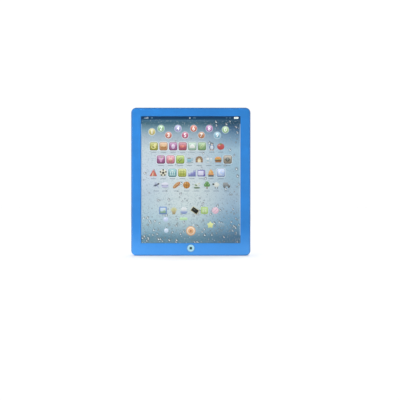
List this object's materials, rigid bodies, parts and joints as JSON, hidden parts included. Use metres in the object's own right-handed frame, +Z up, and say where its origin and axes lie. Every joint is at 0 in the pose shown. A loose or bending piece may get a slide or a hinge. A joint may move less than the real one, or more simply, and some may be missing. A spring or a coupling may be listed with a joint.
{
  "type": "toy touch tablet",
  "caption": "Flat toy tablet with a blue frame around a printed picture panel, a round push button below it, and a battery door, speaker grille and slide switch on the back.",
  "frame": {"origin": "middle of the lower edge, halfway through the thickness, on the surface that the tablet stands on", "axes": "+Z up the tablet's long side, +X to the viewer's right, and the picture faces -Y, so the battery door faces +Y"},
  "size_m": [0.1934, 0.02, 0.24],
  "materials": {
    "blue_plastic": "satin moulded ABS with a fine texture",
    "picture_print": "printed film under a clear gloss layer",
    "clear_film": "thin polyester film with grey carbon tracks",
    "spacer_film": "matt film",
    "grey_plastic": "matt moulded ABS",
    "pale_plastic": "translucent pale plastic with a small dark mark",
    "silicone": "soft matt silicone rubber",
    "circuit_board": "solder-masked glass-epoxy board",
    "epoxy": "poured black epoxy",
    "black_plastic": "matt moulded plastic",
    "white_nylon": "natural nylon",
    "capacitor_sleeve": "shrink sleeve",
    "steel": "zinc-plated steel",
    "nickel": "nickel-plated spring steel",
    "magnet_plate": "plated ferrite magnet assembly",
    "paper_cone": "pressed paper",
    "cell_jacket": "printed metal jacket",
    "red_wire": "PVC insulation",
    "black_wire": "PVC insulation",
    "grey_wire": "PVC insulation"
  },
  "bodies": {
    "case": {"amplifier_chip": "epoxy", "backplate": "grey_plastic", "battery_cell_1": "cell_jacket", "battery_cell_2": "cell_jacket", "battery_cell_3": "cell_jacket", "battery_socket": "white_nylon", "battery_wire_black": "black_wire", "battery_wire_red": "red_wire", "board_screw_1": "steel", "board_screw_2": "steel", "board_screw_3": "steel", "board_screw_4": "steel", "button_dome": "silicone", "capacitor": "capacitor_sleeve", "case_screw_1": "steel", "case_screw_2": "steel", "case_screw_3": "steel", "case_screw_4": "steel", "case_screw_5": "steel", "case_screw_6": "steel", "chip_blob": "epoxy", "clamp_screw_left": "steel", "clamp_screw_right": "steel", "contact_bridge_left": "nickel", "contact_bridge_right": "nickel", "contact_negative": "nickel", "contact_positive": "nickel", "front_shell": "blue_plastic", "key_board": "circuit_board", "key_board_screw_left": "steel", "key_board_screw_right": "steel", "key_cable": "grey_wire", "main_board": "circuit_board", "membrane_bottom_film": "clear_film", "membrane_spacer": "spacer_film", "membrane_tail": "clear_film", "membrane_top_film": "clear_film", "picture_overlay": "picture_print", "rear_shell": "blue_plastic", "speaker_basket": "steel", "speaker_clamp": "grey_plastic", "speaker_magnet": "magnet_plate", "speaker_socket": "white_nylon", "speaker_wire_black": "black_wire", "speaker_wire_red": "red_wire", "switch_body": "steel", "switch_screw_left": "steel", "switch_screw_right": "steel", "switch_wire": "red_wire", "tail_connector": "white_nylon"},
    "home_button": {"home_button": "pale_plastic"},
    "power_switch": {"switch_knob": "black_plastic", "switch_lever": "black_plastic"},
    "battery_door": {"battery_door": "blue_plastic"},
    "battery_door_screw": {"battery_door_screw": "steel"},
    "speaker_cone": {"speaker_cone": "paper_cone"}
  },
  "joints": [
    {"name": "home_button_press", "type": "slide", "parent": "case", "child": "home_button", "axis": [0, 1, 0], "range_m": [0, 0.001], "stiffness_N_per_m": 1200, "springref_m": -0.0002, "deforming": ["button_dome"]},
    {"name": "power_switch_slide", "type": "slide", "parent": "case", "child": "power_switch", "axis": [1, 0, 0], "range_m": [0, 0.0035]},
    {"name": "battery_door_hinge", "type": "hinge", "parent": "case", "child": "battery_door", "pos_m": [0, 0.01, 0.05], "axis": [-1, 0, 0], "range_deg": [0, 70]},
    {"name": "battery_door_screw_turn", "type": "hinge", "parent": "battery_door", "child": "battery_door_screw", "pos_m": [0, 0.01, 0.0932], "axis": [0, 1, 0], "continuous": true},
    {"name": "speaker_cone_move", "type": "slide", "parent": "case", "child": "speaker_cone", "axis": [0, 1, 0], "range_m": [-0.0004, 0.0004], "stiffness_N_per_m": 1500}
  ]
}
